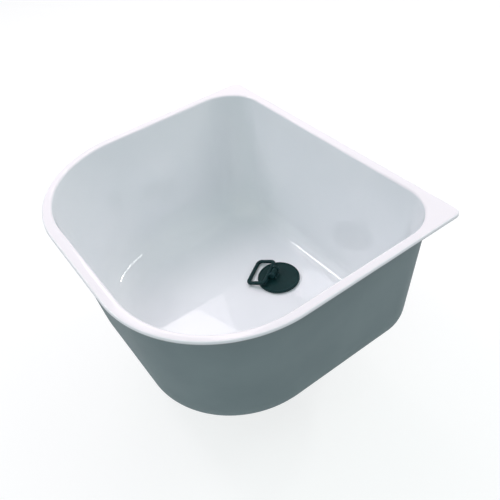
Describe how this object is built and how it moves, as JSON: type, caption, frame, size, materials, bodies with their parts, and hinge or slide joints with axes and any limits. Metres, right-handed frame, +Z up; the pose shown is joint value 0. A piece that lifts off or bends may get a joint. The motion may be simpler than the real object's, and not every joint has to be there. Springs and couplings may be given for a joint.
{
  "type": "plastic inset sink",
  "caption": "Small deep plastic inset sink with a straight back edge, large round front corners, a rubber plug with a pull ring and a screwed waste.",
  "frame": {"origin": "centre of the rim's outline on the rim's underside, which is the worktop's top face", "axes": "+Z up out of the worktop, +Y towards the straight back edge, +X to the right"},
  "size_m": [0.35, 0.3, 0.25],
  "materials": {
    "white_plastic": "glossy formed sheet, white inside and on the rim, plain grey on the back",
    "black_rubber": "moulded rubber, satin",
    "black_nylon": "moulded nylon, satin",
    "pale_plastic": "moulded polypropylene, satin"
  },
  "bodies": {
    "root": {"sink_bowl": "white_plastic", "waste_body": "pale_plastic", "flange_washer": "black_rubber", "seat_washer": "black_rubber", "slip_washer": "pale_plastic", "back_nut": "pale_plastic", "tail_seal": "black_rubber", "union_nut": "pale_plastic", "hose_tail": "pale_plastic"},
    "plug": {"plug_body": "black_rubber"},
    "ring": {"pull_ring": "black_nylon"}
  },
  "joints": [
    {"name": "plug_lift", "type": "slide", "parent": "root", "child": "plug", "axis": [0, 0, 1], "range_m": [0, 0.2]},
    {"name": "ring_swing", "type": "hinge", "parent": "plug", "child": "ring", "pos_m": [-0.00453, 0.06286, -0.1484], "axis": [-0.5446, 0.8387, 0], "range_deg": [0, 200]}
  ]
}
